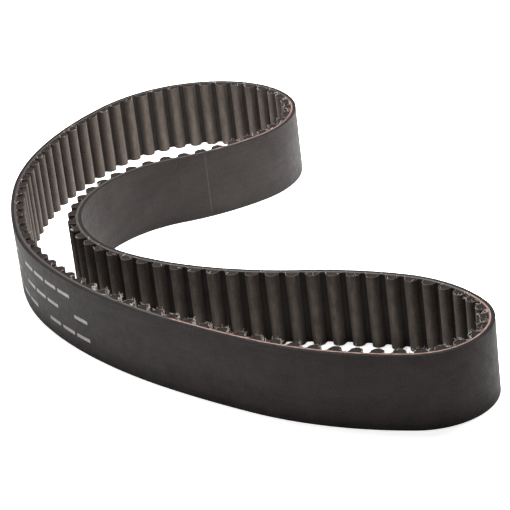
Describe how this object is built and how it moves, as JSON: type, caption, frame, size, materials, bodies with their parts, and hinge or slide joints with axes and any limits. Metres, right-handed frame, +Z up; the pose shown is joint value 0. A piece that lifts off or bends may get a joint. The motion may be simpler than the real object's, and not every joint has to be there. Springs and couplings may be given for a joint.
{
  "type": "timing belt",
  "caption": "Endless toothed rubber timing belt standing on its cut edge, lying slack in two lobes, with flexing stretches.",
  "frame": {"origin": "on the plane of the lower cut edge, under the middle of the belt's outline", "axes": "+X to the right, +Y away along the longer side of the loop, +Z up across the belt's width"},
  "size_m": [0.1846, 0.3034, 0.03],
  "materials": {
    "backing": "matte",
    "ply": "matte",
    "cord": "matte",
    "tooth": "matte",
    "facing": "matte"
  },
  "bodies": {
    "inner_bend": {"backing_rubber_01": "backing", "cord_ply_01": "ply", "tension_cords_01": "cord", "tooth_rubber_01": "tooth", "facing_fabric_01": "facing"},
    "inner_bend_exit": {"backing_rubber_02": "backing", "cord_ply_02": "ply", "tension_cords_02": "cord", "tooth_rubber_02": "tooth", "facing_fabric_02": "facing"},
    "front_lobe_far_side": {"backing_rubber_03": "backing", "cord_ply_03": "ply", "tension_cords_03": "cord", "tooth_rubber_03": "tooth", "facing_fabric_03": "facing"},
    "front_lobe_nose": {"backing_rubber_04": "backing", "cord_ply_04": "ply", "tension_cords_04": "cord", "tooth_rubber_04": "tooth", "facing_fabric_04": "facing"},
    "front_side_right": {"backing_rubber_05": "backing", "cord_ply_05": "ply", "tension_cords_05": "cord", "tooth_rubber_05": "tooth", "facing_fabric_05": "facing"},
    "front_side_middle": {"backing_rubber_06": "backing", "cord_ply_06": "ply", "tension_cords_06": "cord", "tooth_rubber_06": "tooth", "facing_fabric_06": "facing"},
    "front_side_left": {"backing_rubber_07": "backing", "cord_ply_07": "ply", "tension_cords_07": "cord", "tooth_rubber_07": "tooth", "facing_fabric_07": "facing"},
    "left_bend_near": {"backing_rubber_08": "backing", "cord_ply_08": "ply", "tension_cords_08": "cord", "tooth_rubber_08": "tooth", "facing_fabric_08": "facing"},
    "left_bend_far": {"backing_rubber_09": "backing", "cord_ply_09": "ply", "tension_cords_09": "cord", "tooth_rubber_09": "tooth", "facing_fabric_09": "facing"},
    "back_side": {"backing_rubber_10": "backing", "cord_ply_10": "ply", "tension_cords_10": "cord", "tooth_rubber_10": "tooth", "facing_fabric_10": "facing"},
    "back_lobe_nose": {"backing_rubber_11": "backing", "cord_ply_11": "ply", "tension_cords_11": "cord", "tooth_rubber_11": "tooth", "facing_fabric_11": "facing"}
  },
  "joints": [
    {"name": "flex_07_08", "type": "hinge", "parent": "front_side_left", "child": "left_bend_near", "pos_m": [-0.08822, 0.00684, 0.015], "axis": [0, 0, 1], "range_deg": [-15, 15], "stiffness_Nm_per_rad": 0.03},
    {"name": "flex_06_07", "type": "hinge", "parent": "front_side_middle", "child": "front_side_left", "pos_m": [-0.05535, -0.06515, 0.015], "axis": [0, 0, 1], "range_deg": [-5.55, 5.55], "stiffness_Nm_per_rad": 0.03},
    {"name": "flex_08_09", "type": "hinge", "parent": "left_bend_near", "child": "left_bend_far", "pos_m": [-0.08214, 0.08575, 0.015], "axis": [0, 0, 1], "range_deg": [-5.49, 5.49], "stiffness_Nm_per_rad": 0.03},
    {"name": "flex_09_10", "type": "hinge", "parent": "left_bend_far", "child": "back_side", "pos_m": [-0.0329, 0.14624, 0.015], "axis": [0, 0, 1], "range_deg": [-9.42, 9.42], "stiffness_Nm_per_rad": 0.03},
    {"name": "flex_10_11", "type": "hinge", "parent": "back_side", "child": "back_lobe_nose", "pos_m": [0.03136, 0.11604, 0.015], "axis": [0, 0, 1], "range_deg": [-7.36, 7.36], "stiffness_Nm_per_rad": 0.03},
    {"name": "flex_05_06", "type": "hinge", "parent": "front_side_middle", "child": "front_side_right", "pos_m": [0.00142, -0.12121, 0.015], "axis": [0, 0, 1], "range_deg": [-1.69, 1.69], "stiffness_Nm_per_rad": 0.03},
    {"name": "flex_04_05", "type": "hinge", "parent": "front_side_right", "child": "front_lobe_nose", "pos_m": [0.07419, -0.14791, 0.015], "axis": [0, 0, 1], "range_deg": [-1.04, 1.04], "stiffness_Nm_per_rad": 0.03},
    {"name": "flex_03_04", "type": "hinge", "parent": "front_lobe_nose", "child": "front_lobe_far_side", "pos_m": [0.06307, -0.08525, 0.015], "axis": [0, 0, 1], "range_deg": [-5.15, 5.15], "stiffness_Nm_per_rad": 0.03},
    {"name": "flex_02_03", "type": "hinge", "parent": "front_lobe_far_side", "child": "inner_bend_exit", "pos_m": [-0.01164, -0.05731, 0.015], "axis": [0, 0, 1], "range_deg": [-7.01, 7.01], "stiffness_Nm_per_rad": 0.03},
    {"name": "flex_01_02", "type": "hinge", "parent": "inner_bend_exit", "child": "inner_bend", "pos_m": [-0.06264, 0.00051, 0.015], "axis": [0, 0, 1], "range_deg": [-19.41, 19.41], "stiffness_Nm_per_rad": 0.03}
  ],
  "couplings": [
    {"joint": "flex_06_07", "follows": "flex_07_08", "ratio": 0.37016},
    {"joint": "flex_08_09", "follows": "flex_07_08", "ratio": 0.36602},
    {"joint": "flex_09_10", "follows": "flex_07_08", "ratio": -0.62777},
    {"joint": "flex_10_11", "follows": "flex_07_08", "ratio": 0.49075},
    {"joint": "flex_05_06", "follows": "flex_07_08", "ratio": 0.1123},
    {"joint": "flex_04_05", "follows": "flex_07_08", "ratio": 0.06935},
    {"joint": "flex_03_04", "follows": "flex_07_08", "ratio": -0.34338},
    {"joint": "flex_02_03", "follows": "flex_07_08", "ratio": 0.46707},
    {"joint": "flex_01_02", "follows": "flex_07_08", "ratio": 1.2938}
  ]
}
